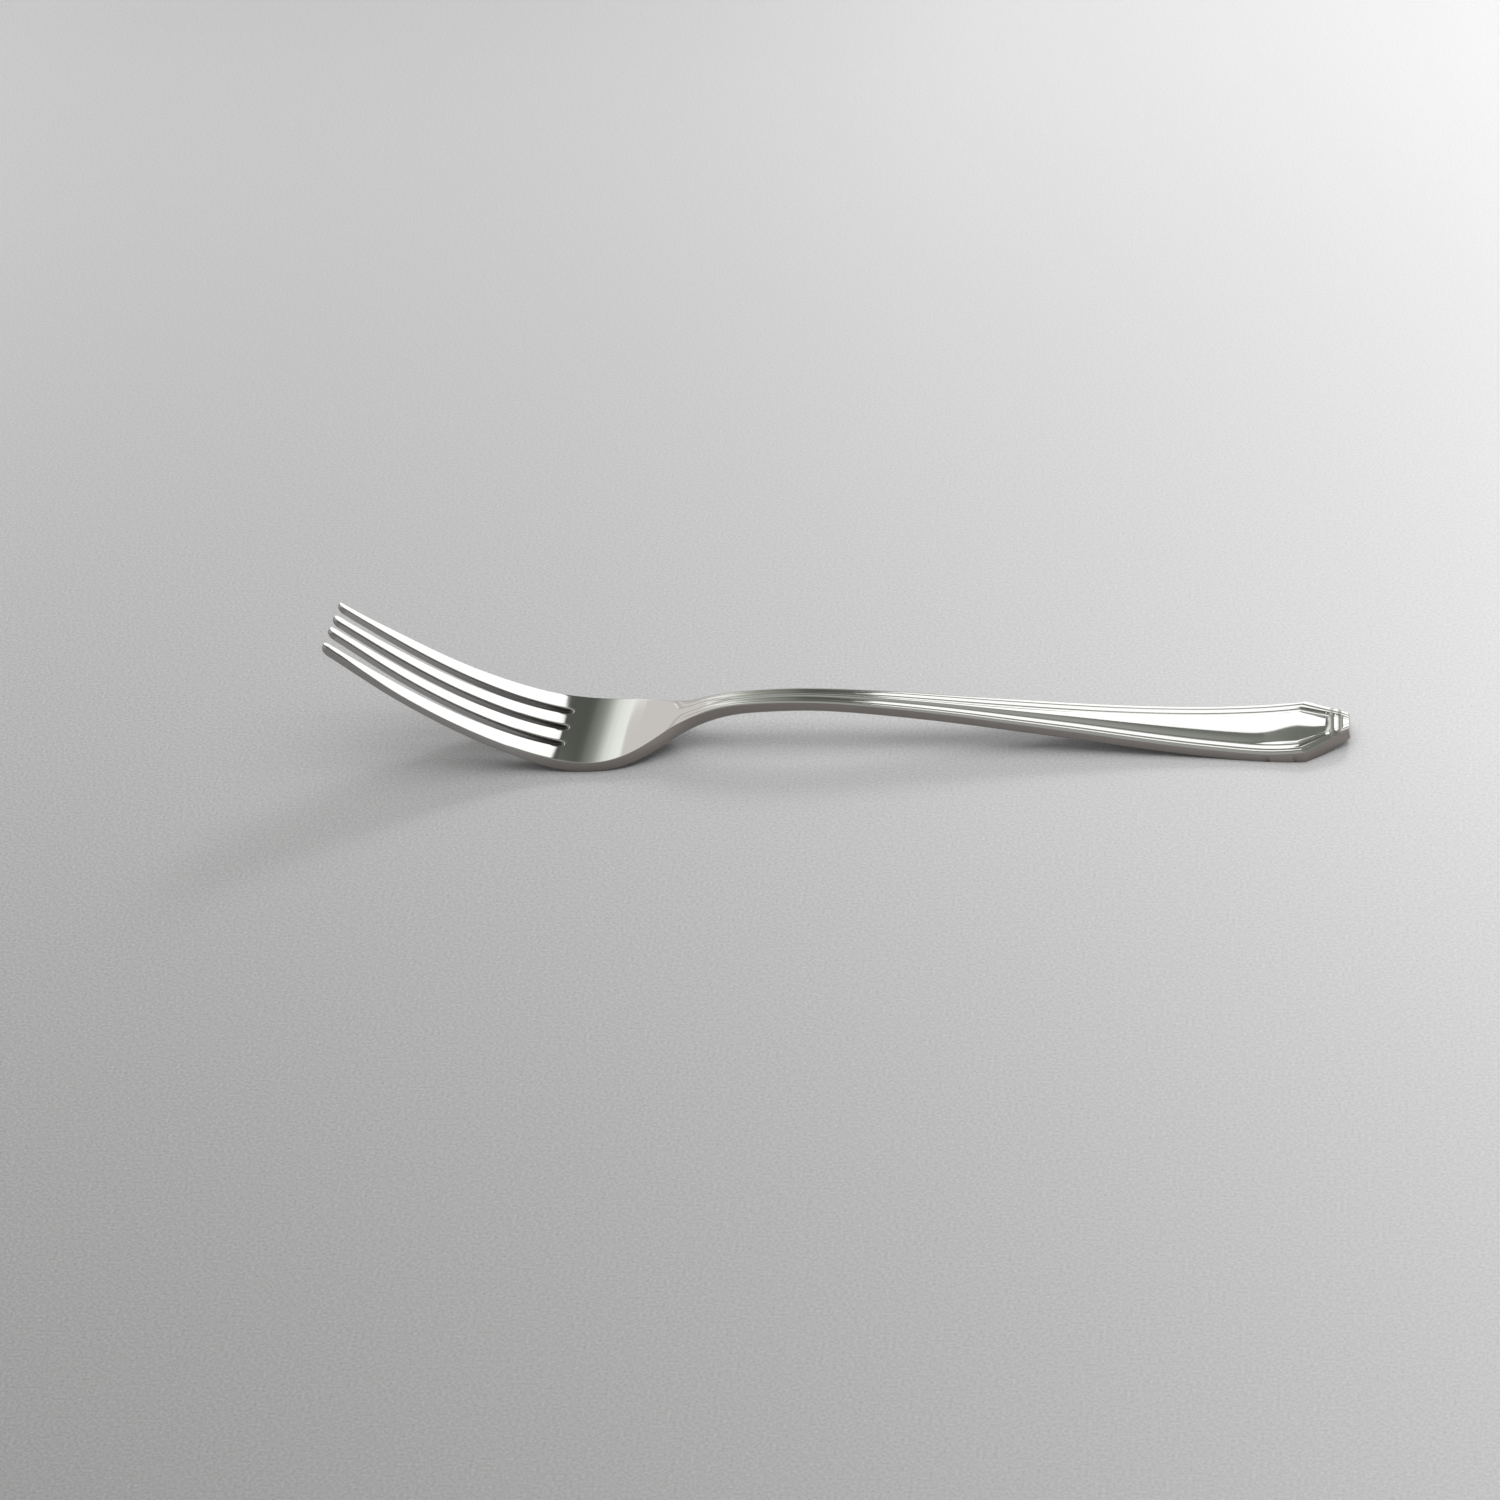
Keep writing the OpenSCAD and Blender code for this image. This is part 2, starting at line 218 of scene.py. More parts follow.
def panel(name, corners, material):
    """A flat upright panel, given by its corners."""
    mesh = bpy.data.meshes.new(name)
    mesh.from_pydata(corners, [], [tuple(range(len(corners)))])
    sheet = bpy.data.objects.new(name, mesh)
    scene.collection.objects.link(sheet)
    mesh.materials.append(material)
    sheet.visible_camera = False


window_light = glowing("window_light", (1, 1, 0.99), 1.78)
window_y, window_low = 0.736, 0.17
window_edge = [(-0.0115, window_low), (-0.0115, 0.44), (-0.016, 0.446), (-0.0245, 0.452), (-0.028, 0.458),
               (-0.028, 0.463), (-0.0245, 0.468), (-0.016, 0.473), (-0.0115, 0.478), (-0.0115, 0.486)]
frame_x, frame_y = 0.13, 0.742
panel("window_left",
      [(frame_x, frame_y, 0.484), (frame_x, frame_y, window_low)]
      + [(x, window_y, z) for x, z in window_edge], window_light)
side_x, side_y = 0.31, 0.65
panel("window_right",
      [(frame_x, frame_y, window_low), (side_x, side_y, window_low), (side_x, side_y, 0.62),
       (frame_x, frame_y, 0.58)], window_light)

# The reflector's glow is painted light: it fades from its bright left edge to nothing on the right
reflector_left, reflector_right = -1.056, -0.26
fading, start = new_material("glowing_reflector_card")
fading_place = start.node("ShaderNodeTexCoord", None, None, "Object")
fading_x = start.node("ShaderNodeSeparateXYZ", None, {"Vector": fading_place}, "X")
fading_z = start.node("ShaderNodeSeparateXYZ", None, {"Vector": fading_place}, "Z")
fading_share = (fading_x - reflector_left) * (1 / (reflector_right - reflector_left))
fading_glow = start.node("ShaderNodeValToRGB", {"stops": [
    (0.0, (1.31, 1.34, 1.27, 1)), (0.17, (1.19, 1.22, 1.15, 1)), (0.284, (1.04, 1.08, 1.0, 1)),
    (0.418, (0.75, 0.78, 0.71, 1)), (0.554, (0.48, 0.505, 0.445, 1)), (0.682, (0.335, 0.353, 0.313, 1)),
    (0.796, (0.25, 0.266, 0.232, 1)), (0.9, (0.155, 0.161, 0.143, 1)), (1.0, (0.13, 0.135, 0.12, 1))]},
    {"Fac": fading_share})
# Painted shade: the card's glow is dimmer at its upper right
upper_right = (fading_z * 8 - 12.96).clamped() * (fading_x * 1.8 + 0.99).clamped()
fading_colour = start.node("ShaderNodeMix", {"data_type": "RGBA"}, {
    0: upper_right, 6: fading_glow, 7: (0.33, 0.345, 0.31, 1)}, 2)
fading_light = start.node("ShaderNodeEmission", None, {"Color": fading_colour, "Strength": 1.0})
start.node("ShaderNodeOutputMaterial", None, {"Surface": fading_light}, None)
reflector_y, wall_y, wall_left, wall_top = 2.6, 2.59, -5.0, 2.6
reflector_corners = [(-1.6, 0.66), (0.0, 0.66), (0.0, wall_top), (-1.6, wall_top)]
panel("reflector", [(x, reflector_y, z) for x, z in reflector_corners], fading)
wall_edge = [(-1.19, 0.0), (-1.19, 1.06), (-1.165, 1.085), (-1.105, 1.15), (-1.08, 1.182), (-1.062, 1.207),
             (-1.054, 1.225), (-1.06, 1.23), (-1.115, 1.24), (-1.115, wall_top), (wall_left, wall_top)]
panel("wall", [(x, wall_y, z) for x, z in [(wall_left, 0.0)] + wall_edge],
      glowing("wall_light", (0.91, 0.875, 0.855), 1.0))


# Lamps: three with cloth covers give the paper its light and the fork its soft shadows, a wide one overhead,
# a small one beside the window, and a small one to the right. They are kept out of the steel's reflections.


def soft_lamp(name, place, aim, width, length, energy):
    bpy.ops.object.light_add(type="AREA", location=place)
    lamp = bpy.context.object
    lamp.name = name
    lamp.rotation_euler = (Vector(place) - Vector(aim)).to_track_quat("Z", "Y").to_euler()
    lamp.data.shape = "RECTANGLE"
    lamp.data.size = width
    lamp.data.size_y = length
    lamp.data.energy = energy
    lamp.visible_camera = False
    lamp.visible_glossy = False


soft_lamp("overhead", (0.1, 0.1, 1.3), (0.1, 0.1, 0), 2.2, 1.6, 8.4)
soft_lamp("window_side", (0.20, 0.66, 0.34), (-0.02, 0, 0), 0.14, 0.14, 1.5)
soft_lamp("right_hand", (0.75, 0.0, 0.92), (0, 0, 0), 0.14, 0.3, 0.58)


# Fork: one blank of stainless steel, cut out with its slots, pressed to its curves, struck in a die for the
# threads of the handle, and polished to a mirror. It is one seamless skin with no joint. No operator shapes
# such a blank, so its points are worked out here in millimetres, laid flat, and bent to its rim line.

tine_len, palm_len, shoulder_len, neck_len = 47.2, 9.4, 20.0, 22.0
stem_len, grip_len, end_len = 46.0, 52.2, 8.8
head_half, neck_half, corner_half, end_half = 13.2, 3.0, 10.3, 3.5
slot_w, inner_tine_w, tip_w, tip_gap = 2.05, 4.5, 1.9, 3.1
tip_h, arch_h, end_h = 27.6, 10.1, 3.4
round_w, round_h = 0.25, 0.12
slot_half = slot_w / 2
side_slot = slot_w + inner_tine_w

x_tip = -102.715
x_root = x_tip + tine_len
x_palm = x_root + palm_len
x_neck = x_palm + shoulder_len
x_waist = x_neck + neck_len / 4
x_stem = x_neck + neck_len
x_grip = x_stem + stem_len
x_corner = x_grip + grip_len
x_end = x_corner + end_len
x_rest = x_corner - end_len


def laid(shares, x0, x1, v0, v1):
    """A table of shares, laid from x0 to x1 and from value v0 to v1."""
    return [(x0 + (x1 - x0) * s, v0 + (v1 - v0) * v) for s, v in shares]


class FairCurve:
    """The smoothest curve that passes close to a list of points, as a draughtsman's spline does."""

    def __init__(self, points, stiffness, step=0.5):
        points = np.array(sorted(points))
        self.x0, self.step = points[0, 0], step
        count = int(math.ceil((points[-1, 0] - points[0, 0]) / step)) + 1
        at = (points[:, 0] - self.x0) / step
        low = np.clip(at.astype(int), 0, count - 2)
        pull = np.zeros((len(points), count))
        pull[np.arange(len(points)), low] = 1 - (at - low)
        pull[np.arange(len(points)), low + 1] = at - low
        bend = np.diff(np.eye(count), 3, axis=0) / step ** 3
        self.values = np.linalg.solve(pull.T @ pull + stiffness * bend.T @ bend, pull.T @ points[:, 1])

    def __call__(self, x):
        at = (np.asarray(x, float) - self.x0) / self.step
        low = np.clip(at.astype(int), 1, len(self.values) - 3)
        t = at - low
        a, b, c, d = (self.values[low + k] for k in (-1, 0, 1, 2))
        return (b + 0.5 * t * (c - a + t * (2 * a - 5 * b + 4 * c - d + t * (3 * (b - c) + d - a))))

    def slope(self, x):
        return (self(np.asarray(x, float) + 0.25) - self(np.asarray(x, float) - 0.25)) / 0.5


def ease(s):
    t = np.clip(s, 0, 1)
    return t * t * (3 - 2 * t)


# The rim seen from the side, as shares of each stretch of the fork and of its rise
tine_rise = [(0, 0.02), (0.14, 0.084), (0.31, 0.205), (0.48, 0.359), (0.66, 0.556), (0.83, 0.77), (1, 1)]
arch_rise = [(0, 0.004), (0.07, 0.004), (0.145, 0.068), (0.23, 0.178), (0.315, 0.345), (0.4, 0.532),
             (0.486, 0.711), (0.572, 0.846), (0.66, 0.927), (0.743, 0.966), (0.83, 0.99), (0.92, 1),
             (1, 0.991)]
arch_fall = [(0.08, 0.938), (0.163, 0.851), (0.285, 0.694), (0.41, 0.518), (0.53, 0.354), (0.65, 0.199),
             (0.735, 0.105), (0.815, 0.039), (0.87, 0.011)]
end_rise = [(0, 0), (0.15, 0.03), (0.35, 0.17), (0.5, 0.32), (0.69, 0.56), (0.84, 0.77), (1, 1)]
palm_rim_h, grip_rim_h = 2.02, 1.55
rim = FairCurve(
    laid(tine_rise, x_root, x_tip, palm_rim_h, tip_h)
    + laid(arch_rise, x_root + palm_len / 2, x_stem, palm_rim_h, arch_h)
    + laid(arch_fall, x_stem, x_corner, grip_rim_h, arch_h)
    + laid(end_rise, x_rest, x_end, grip_rim_h, end_h), 3.0)

# Half the width seen from above, as shares of each stretch of the fork and of its change of width
head_shares = [(0, 0.995), (0.1, 1), (0.21, 0.98), (0.325, 0.897), (0.44, 0.708), (0.555, 0.427),
               (0.67, 0.167), (0.785, 0.06), (0.9, 0.017), (1, 0)]
handle_shares = [(0.08, 0), (0.145, 0.008), (0.285, 0.088), (0.39, 0.167), (0.49, 0.275), (0.6, 0.4),
                 (0.7, 0.547), (0.805, 0.725), (0.875, 0.855), (0.93, 0.955), (0.97, 0.995), (1, 1)]
taper_shares = [(0, 0), (0.1, 0.08), (0.25, 0.31), (0.4, 0.47), (0.6, 0.64), (0.8, 0.82), (1, 1)]
taper = FairCurve(laid(taper_shares, x_tip, x_root, 0, 1), 2.0)
outer_root, knot_step = 13.13, 2.0
tines_side = [(x, side_slot + slot_half + tip_w + (outer_root - side_slot - slot_half - tip_w) * taper(x))
              for x in np.arange(x_tip, x_root - knot_step, knot_step)]
outline = FairCurve(
    tines_side + laid(head_shares, x_root, x_waist, neck_half, head_half)
    + laid(handle_shares, x_waist, x_corner, neck_half, corner_half), 0.5)


def inner_tine_edges(x):
    inner = tip_gap / 2 + (slot_half - tip_gap / 2) * (x - x_tip) / tine_len
    return inner, inner + tip_w + (inner_tine_w - tip_w) * taper(x)


def outer_tine_edges(x):
    return np.full_like(np.asarray(x, float), side_slot + slot_half), outline(x)


def softened(line):
    """The curve through a table of places and values, without the corners of straight lines between them."""
    knots = np.arange(x_tip, x_end + 1, knot_step)
    return FairCurve([(x, float(np.interp(x, *zip(*line)))) for x in knots], 1.0)


# Along the fork: height of the side face, depth of the rounded underside, and height of the crowned top
side_line = [(x_tip, 1.2), (x_tip + 20, 1.25), (x_root - 10, 1.5), (x_root - 1, 1.84), (x_palm, 1.95),
             (x_palm + shoulder_len * 0.5, 2.3), (x_palm + shoulder_len * 0.75, 2.3), (x_waist, 1.97),
             (x_stem, 1.75), (x_grip, 1.48), (x_rest, 1.48), (x_corner + end_len * 0.4, 2.3), (x_end, 1.7)]
side_curve = softened(side_line)
belly_line = [(x_tip, 0), (x_palm, 0), (x_neck, 0.6), (x_stem, 0.6), (x_grip, 0.2),
              (x_grip + grip_len / 2, 0), (x_end, 0)]
crown_line = [(x_tip, 0.42), (x_tip + 6, 0.36), (x_tip + 14, 0.22), (x_tip + 24, 0.08), (x_tip + 34, 0.01),
              (x_root, 0), (x_palm, 0), (x_end, 0)]
crown = softened(crown_line)


def along(line, x):
    return np.interp(x, [p[0] for p in line], [p[1] for p in line])


def bent(x, y, h):
    """Carries flat points, h over the rim, to their place on the bent fork."""
    m = rim.slope(x)
    c = np.sqrt(1 + m * m)
    return np.stack([x - h * m / c, y, np.maximum(rim(x) + h / c, 0)], axis=-1)


# The head: its outline is one line round the tines and slots, from the right side of the palm to the left
line_step = 0.4
arc_turns = 14


def side_run(edge, x0, x1):
    count = int(abs(x1 - x0) / line_step) + 1
    xs = np.linspace(x0, x1, count + 1)[:-1]
    return [(x, float(edge(x))) for x in xs]


def tip_cap(edges):
    """Half round tip of a tine, from its outer edge to its inner edge."""
    low, high = edges(x_tip + tip_w / 2)
    middle, half = float(low + high) / 2, float(high - low) / 2
    return [(x_tip + tip_w / 2 * (1 - math.cos(a)), middle + half * math.sin(a))
            for a in np.linspace(math.pi / 2, -math.pi / 2, 2 * arc_turns + 1)[:-1]]


def slot_end(middle, last=-math.pi / 2):
    return [(x_slot + slot_half * math.cos(a), middle + slot_half * math.sin(a))
            for a in np.linspace(math.pi / 2, last, (2 * arc_turns if last < 0 else arc_turns) + 1)[:-1]]


x_cap = x_tip + tip_w / 2
slot_setback = 0.35
x_slot = x_root - slot_half - slot_setback
half_line = (
    side_run(outline, x_palm, x_cap) + tip_cap(outer_tine_edges)
    + side_run(lambda x: outer_tine_edges(x)[0], x_cap, x_slot) + slot_end(side_slot)
    + side_run(lambda x: inner_tine_edges(x)[1], x_slot, x_cap) + tip_cap(inner_tine_edges)
    + side_run(lambda x: inner_tine_edges(x)[0], x_cap, x_slot) + slot_end(0, 0.0))
# Half way round lies the middle of the middle slot's end
head_line = np.array(half_line + [(x_slot + slot_half, 0.0)] + [(x, -y) for x, y in reversed(half_line)])
ahead = np.roll(head_line, -1, axis=0) - np.roll(head_line, 1, axis=0)
ahead[0], ahead[-1] = head_line[1] - head_line[0], head_line[-1] - head_line[-2]
inward = np.stack([-ahead[:, 1], ahead[:, 0]], axis=1) / np.linalg.norm(ahead, axis=1)[:, None]
inward[0] = (0, -1)
inward[-1] = (0, 1)

round_angles = np.radians([0, 18, 36, 54, 72, 90])
round_ins = round_w * (1 - np.cos(round_angles))
# The tines' edges are rounded less than the palm's, but more at the slots' closed ends, and the side faces in
# the slots are less dull, and get less painted shade, than the outer ones
tine_crisper, slot_end_softer, slot_dull_and_shade = 0.4, 0.7, 0.55
slot_edge = (np.abs(head_line[:, 1]) < side_slot + slot_half + 0.02) & (head_line[:, 0] > x_cap + 0.5)
softer = (1 - tine_crisper * ease((x_palm - 1 - head_line[:, 0]) / 6)
          + slot_end_softer * slot_edge * ease((head_line[:, 0] - x_root + 4) / 3))
slot_dull_and_shade_scale = np.where(slot_edge, slot_dull_and_shade, 1.0)


def tine_share(x, y):
    """How far across its own tine a point lies, and how much of the swell it has."""
    a, b = inner_tine_edges(x)
    c, d = outer_tine_edges(x)
    s = np.where(np.abs(y) > side_slot, (np.abs(y) - c) / (d - c), (np.abs(y) - a) / (b - a))
    return np.clip(s, 0, 1), ease((x_root - 0.5 - x) / 7)


top_swell = 0.02


def head_top(x, y):
    s, fade = tine_share(x, y)
    whole = outline(x)
    swell = top_swell * ease((x_root - 18 - x) / 24)
    return crown(x) * (1 - (y / whole) ** 2) + swell * fade * 4 * s * (1 - s)


under_h, under_swell = 0.3, 0.05


def head_under(x, y):
    s, fade = tine_share(x, y)
    follow = np.clip((x_root - x) / tine_len, 0, 1)
    return (under_h - round_h - side_curve(x) + follow * crown(x) * (1 - (y / outline(x)) ** 2)
            - under_swell * fade * 4 * s * (1 - s))


head_points, head_dull_and_shade = [], []
# The tips' end faces stand upright and not square to the bent tines, and the tines' side faces are less dull,
# with less painted shade, towards the tips
tip_lean, tip_face_h = 0.43, 1.5
tine_polish_and_less_shade, polish_and_shade_run = 0.38, 10


def lay_points(x, y, h, side):
    """Adds flat points, bent to the rim line, with the share of side finish and painted shade that they have.
    """
    base = len(head_points)
    upright = tip_lean * np.clip(1 - (x - x_tip) / tip_w, 0, 1) * np.clip(-h / tip_face_h, 0, 1)
    head_points.extend(bent(x + upright, y, h))
    head_dull_and_shade.extend(side * (1 - tine_polish_and_less_shade * ease((x_root - x) / polish_and_shade_run)))
    return np.arange(base, base + len(x))


def side_dull_and_shade(angle):
    """Share of the side faces' dull finish and painted shade on the rounded edge: whole to 18 degrees, none
    from 54.
    """
    return float(np.clip(1.5 - math.degrees(angle) / 36, 0, 1))


tip_taper_len, tip_taper_h = 1.6, 0.45


def tip_taper(x, sign):
    """The underside rises towards the tips, which thins them."""
    near_tip = np.clip(1 - (x - x_tip) / tip_taper_len, 0, 1) if sign < 0 else 0
    return near_tip ** 2 * tip_taper_h


def ring_rows(surface, sign, height):
    """Rows of points that round the edge, from the side face inwards."""
    rows = []
    for angle, step in zip(round_angles, round_ins):
        p = head_line + inward * (step * softer)[:, None]
        x, y = p[:, 0], p[:, 1]
        h = surface(x, y) + sign * height * (1 - softer * (1 - math.sin(angle))) + tip_taper(x, sign)
        rows.append(lay_points(x, y, h, side_dull_and_shade(angle) * slot_dull_and_shade_scale))
    return rows


top_rows = ring_rows(head_top, 1, round_h)
under_rows = ring_rows(head_under, -1, under_h)
faces = []
steps_round = len(head_line) - 1
for rows, below in ((top_rows, False), (under_rows, True)):
    for lower, upper in zip(rows[:-1], rows[1:]):
        for k in range(steps_round):
            quad = (lower[k], lower[k + 1], upper[k + 1], upper[k])
            faces.append(quad if below else quad[::-1])
for k in range(steps_round):
    faces.append((top_rows[0][k], top_rows[0][k + 1], under_rows[0][k + 1], under_rows[0][k]))

# Inside the rounded edge the head is filled with rows of points, and with the first section of the shoulder
inner_ring = head_line + inward * (round_ins[-1] * softer)[:, None]
section_half = float(outline(x_palm))
plan_in = [0.06, 0.12, 0.19, 0.27, 0.36, 0.45, 0.55, 0.65, 0.75, 0.85, 0.93]
section_ys = [section_half * (1 - s) for s in plan_in] + [0.0]
section_ys = [y for y in section_ys if y < section_half - round_w - 0.1]
section_line = [(x_palm, -y) for y in section_ys] + [(x_palm, y) for y in reversed(section_ys[:-1])]
fill = [tuple(p) for p in inner_ring] + section_line
border_count = len(fill)
fill_step, clear_of_ring = 0.55, 0.22
for x in np.arange(x_tip + 0.9, x_palm - 0.3, fill_step):
    margin = round_w * (1 + 0.3 * float(ease((x - x_root + 5) / 4)) * (x < x_root + 1)) + clear_of_ring
    if x < x_slot + slot_half - 0.2:
        a, b = inner_tine_edges(x)
        c, d = (float(v) for v in outer_tine_edges(x))
        if x > x_slot:
            open_half = math.sqrt(max(slot_half ** 2 - (x - x_slot) ** 2, 0))
            a, b, c = open_half, side_slot - open_half, side_slot + open_half
        bands = [(a, b), (c, d), (-b, -a), (-d, -c)]
    elif x < x_root + margin:
        reach = math.sqrt(max((slot_half + margin) ** 2 - (x - x_slot) ** 2, 0)) - margin
        edge = float(outline(x))
        bands = [(reach, side_slot - reach), (side_slot + reach, edge), (-side_slot + reach, -reach),
                 (-edge, -side_slot - reach)]
    else:
        bands = [(-float(outline(x)), float(outline(x)))]
    for low, high in bands:
        room_left = high - low - 2 * margin
        if room_left <= 0:
            continue
        for y in np.linspace(low + margin, high - margin, max(2, int(room_left / fill_step) + 1)):
            fill.append((float(x), float(y)))
edges = [(k, (k + 1) % border_count) for k in range(border_count)]
flat_points, _, flat_faces, kept, _, _ = delaunay_2d_cdt([Vector(p) for p in fill], edges, [], 1, 1e-5)
flat = np.array([tuple(p) for p in flat_points])
top_place, under_place, new_ones = {}, {}, []
for k, source in enumerate(kept):
    first = min(source) if source else None
    if first is not None and first < len(inner_ring):
        top_place[k] = top_rows[-1][first]
        under_place[k] = under_rows[-1][first]
    else:
        new_ones.append(k)
x, y = flat[new_ones][:, 0], flat[new_ones][:, 1]
for surface, sign, height, places in ((head_top, 1, round_h, top_place),
                                      (head_under, -1, under_h, under_place)):
    laid_ones = lay_points(x, y, surface(x, y) + sign * height + tip_taper(x, sign), 0.0)
    places.update(zip(new_ones, laid_ones))
for f in flat_faces:
    a, b, c = (flat[k] for k in f)
    turned = (b[0] - a[0]) * (c[1] - a[1]) - (b[1] - a[1]) * (c[0] - a[0])
    if abs(turned) < 1e-9:
        continue
    order = f if turned > 0 else f[::-1]
    faces.append([top_place[k] for k in order])
    faces.append([under_place[k] for k in order[::-1]])

# The handle: closed sections that follow the rim, with the threaded border struck into the top
thread_w, thread_h = 4.0, 0.32
bevel_w, bevel_h = 1.6, 0.2
x_terminal = x_corner - thread_w / 2
# From the rim inwards: share of the border's width, height over the rim as a share of the threads' height,
# and how dull and dark the steel is at the bottom of the two grooves, which the polishing mop doesn't reach:
# duller steel, and painted shade in the grooves
thread_line = [(0.0625, 0.334, 0), (0.12, 0.434, 0), (0.2, 0.575, 0), (0.25, 0.65, 0), (0.285, 0.68, 0),
               (0.315, 0.67, 0.05), (0.345, 0.635, 0.25), (0.375, 0.61, 0.45), (0.41, 0.61, 0.45),
               (0.44, 0.635, 0.25), (0.47, 0.67, 0.05), (0.5, 0.69, 0), (0.57, 0.7, 0), (0.66, 0.7, 0),
               (0.74, 0.695, 0), (0.775, 0.675, 0.05), (0.805, 0.64, 0.25), (0.84, 0.615, 0.45),
               (0.87, 0.615, 0.45), (0.9, 0.64, 0.25), (0.93, 0.675, 0.05), (0.965, 0.695, 0), (1.02, 0.7, 0)]
panel_half_share = [0.96, 0.9, 0.82, 0.73, 0.63, 0.52, 0.4, 0.28, 0.15]
panel_edge, panel_top = 0.7, 1.26
panel_foot = thread_line[-1][0]
slim_share, shoulder_more, x_slim = 0.82, 0.18, -35


def border(x, w):
    """Width of the threaded border: thread_w, or where the handle is slim a share of its half width."""
    slim = slim_share + shoulder_more * (1 - ease((x - x_slim) / 8))
    return (thread_w ** -6 + (slim * w) ** -6) ** (-1 / 6)


v_place, v_slant, v_tongue, v_tongue_half = 0.72, 0.42, 2.2, 2
x_start = x_palm + v_place * shoulder_len
# The V's nick is a shallow groove that is also darkened: a duller finish, and painted shade
nick_w, nick_h, nick_dull_and_shade = 0.45, 0.07, 0.45


def past_v(x, y):
    """How far a point lies past the V, which opens towards the palm and runs out along the neck's middle."""
    return x - x_start + v_slant * abs(y) - v_tongue * max(v_tongue_half - abs(y), 0) ** 2


def relief(x, y):
    """The threads start along the V."""
    return ease(past_v(x, y) / 2.5)


def v_nick(x, y):
    """The die's edge leaves a fine line along the arms of the V."""
    return math.exp(-(past_v(x, y) / nick_w) ** 2) * float(ease((abs(y) - 0.8) / 0.8))


mitre_share, end_taper = 0.34, 0.92


def top_spot(x, u, g):
    """Plan of the top point a share u of the border inward of the rim, or at share g of the panel."""
    w = float(outline(min(x, x_corner)))
    b = border(x, w)
    shift = mitre_share * thread_w * u
    if x <= x_terminal:
        return x, g * (w - b * u)
    if x <= x_corner:
        return x - shift * (x - x_terminal) / (x_corner - x_terminal), g * (w - b * u)
    e = (x - x_corner) / end_len
    wide, slim = corner_half - thread_w * u, end_half * (1 - end_taper * u)
    return x - shift * (1 - e), g * (wide + (slim - wide) * e)


# Along the slanted end, as shares of its length: height of the bead and its groove, and how dull they are,
# with painted shade darkening the bead's foot and its groove
end_bead = [(0.55, 0.3), (0.6, 0.3), (0.62, 0.36), (0.64, 0.5), (0.66, 0.62), (0.68, 0.68), (0.705, 0.7),
            (0.73, 0.68), (0.75, 0.56), (0.77, 0.34), (0.79, 0.16), (0.81, 0.12), (0.83, 0.22), (0.85, 0.44),
            (0.87, 0.6), (0.9, 0.64), (1, 0.64)]
bead_dull_and_shade = [(0.56, 0), (0.6, 0.7), (0.63, 0.7), (0.67, 0), (0.74, 0), (0.77, 0.8), (0.82, 0.8), (0.85, 0)]
bead_start, bead_run, mitre_lift = 0.55, 0.07, 0.5


def thread_height(x, share, inside, sink=0.0):
    """Height over the rim of a share of the threads' height, with the end's bead and bevel."""
    e = (x - x_corner) / end_len
    lift = mitre_lift * ease((x - x_terminal) / thread_w)
    own = share if inside else max(share, lift)
    w = float(outline(min(x, x_corner)))
    high = thread_h * border(x, w) / thread_w
    turn = float(ease((e - bead_start) / bead_run)) if inside else 0.0
    across = (own * high - sink) * (1 - turn) + float(along(end_bead, e)) * high * turn
    return across - bevel_h * min(max((x - x_end + bevel_w) / bevel_w, 0), 1)


sink_rate, x_sink = 0.0022, 86


def panel_sink(x):
    """Towards the end the panel rises less than the rim, up to the foot of the end bead."""
    return sink_rate * max(x - x_sink, 0) ** 2


twist, x_twist, twist_reach = 0.033, 92.6, 5.2


def panel_twist(x, y, edge):
    """Near the end the panel is turned a little about the fork's length."""
    inside = np.clip(1 - (y / edge) ** 12, 0, 1)
    return twist * np.exp(-((x - x_twist) / twist_reach) ** 2) * y * inside


def plain_height(x, y, w):
    return crown(x) * (1 - (y / w) ** 2) + round_h


x_full, rise_len = 70, 110


def struck(x, y, w, high):
    """The threads are struck into the plain surface, which rises slowly to their full height."""
    level = panel_edge * thread_h * border(x, w) / thread_w
    shallow, risen = float(relief(x, y)), float(ease((x - x_full + rise_len) / rise_len))
    nick = nick_h * v_nick(x, y) * float(ease((w - abs(y) - 0.4) / 0.6))
    return plain_height(x, y, w) + (high - level) * shallow + (level - round_h) * risen - nick


grip_crisper, crisper_run = 0.18, 20


def under_round(x):
    """Height of the rounding along the lower edge, which is less on the grip."""
    return under_h - grip_crisper * float(ease((x - x_grip) / crisper_run))


rim_share, inner_threads, clear_of_round = 0.32, 0.6, round_w * 1.05
under_share = [0.85, 0.7, 0.55, 0.4, 0.2, 0.0]


